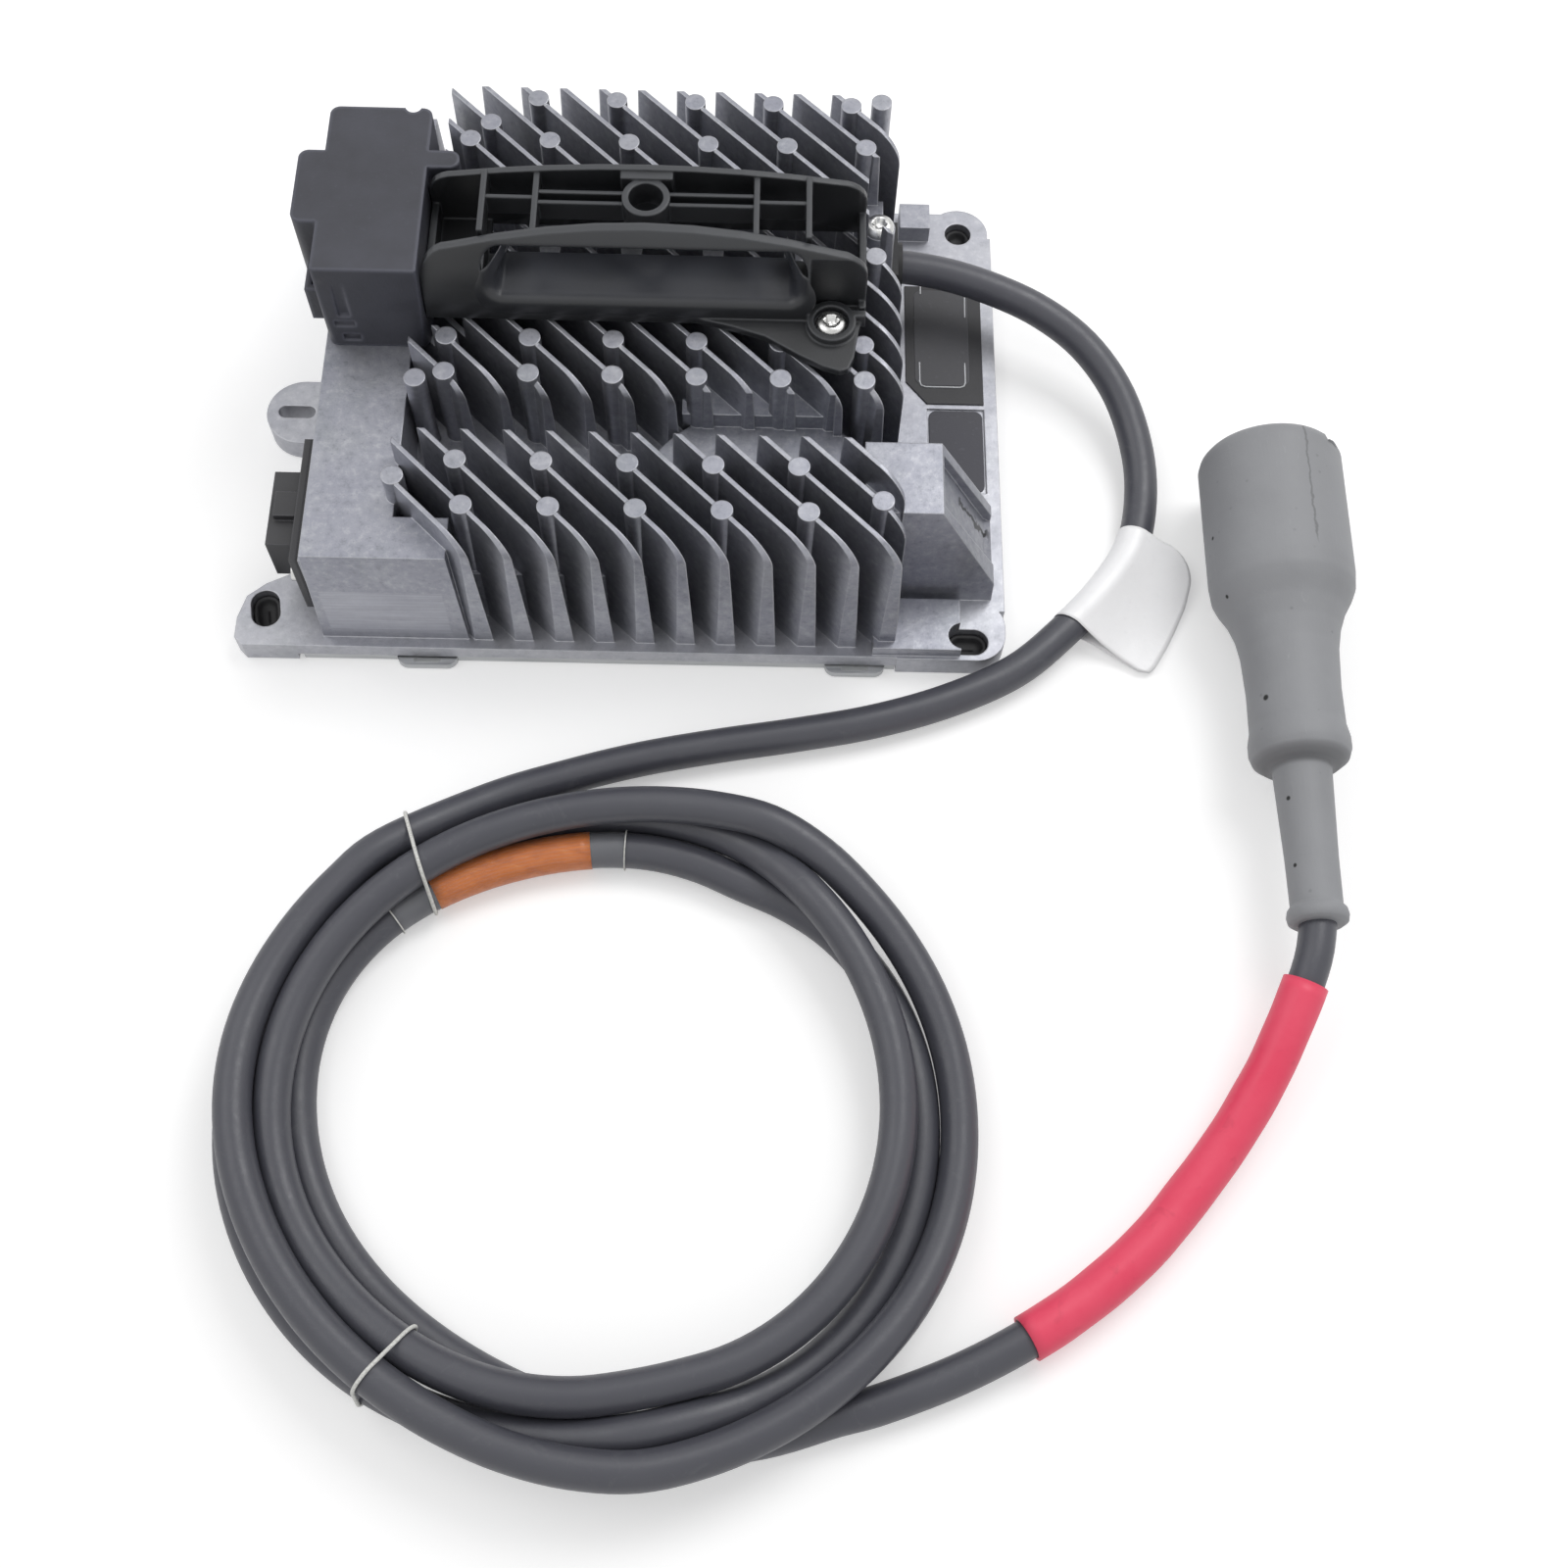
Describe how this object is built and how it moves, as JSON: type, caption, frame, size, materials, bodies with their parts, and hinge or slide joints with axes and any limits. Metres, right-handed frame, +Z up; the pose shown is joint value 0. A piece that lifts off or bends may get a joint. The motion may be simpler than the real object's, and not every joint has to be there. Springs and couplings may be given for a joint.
{
  "type": "battery charger",
  "caption": "Finned cast-metal battery charger for a golf cart, with a carrying handle, mounting feet and a coiled output cable that ends in a round plug.",
  "frame": {"origin": "middle of the base's footprint, on its underside", "axes": "+X towards the cable exit, +Y towards the back, +Z up"},
  "size_m": [0.4045, 0.4935, 0.11],
  "materials": {
    "cast_metal": "as cast, satin",
    "plate_metal": "rolled, satin",
    "seal_rubber": "matte",
    "bright_steel": "bright",
    "black_plastic": "fine texture",
    "contact_metal": "plated",
    "label_black": "matte, with a thin pale line",
    "cable_jacket": "matte",
    "red_tube": "satin",
    "white_film": "matte, bare",
    "white_cord": "matte",
    "grey_rubber": "matte",
    "board_green": "lacquered",
    "dark_ferrite": "matte",
    "copper_wire": "enamelled",
    "capacitor_sleeve": "gloss",
    "white_ceramic": "matte"
  },
  "bodies": {
    "root": {"heatsink_housing": "cast_metal", "base_plate": "plate_metal", "base_seal": "seal_rubber", "base_screws": "bright_steel", "handle": "black_plastic", "handle_screws": "bright_steel", "earth_screw": "bright_steel", "mains_cover": "black_plastic", "mains_inlet": "black_plastic", "mains_pins": "contact_metal", "signal_connector": "black_plastic", "signal_seal": "seal_rubber", "signal_pins": "contact_metal", "signal_screws": "bright_steel", "label_plate": "label_black", "cable_gland": "seal_rubber", "gland_nut": "bright_steel", "cable_lead": "cable_jacket", "cable_coil": "cable_jacket", "cable_tail": "cable_jacket", "red_sleeve": "red_tube", "flag_label": "white_film", "coil_ties": "white_cord", "plug_body": "grey_rubber", "plug_insert": "black_plastic", "plug_contacts": "contact_metal", "circuit_board": "board_green", "board_screws": "bright_steel", "transformer_core": "dark_ferrite", "transformer_winding": "copper_wire", "filter_chokes": "copper_wire", "capacitors": "capacitor_sleeve", "power_transistors": "black_plastic", "transistor_clamp": "plate_metal", "relay": "black_plastic", "fuse": "white_ceramic", "output_terminals": "contact_metal"}
  },
  "joints": []
}
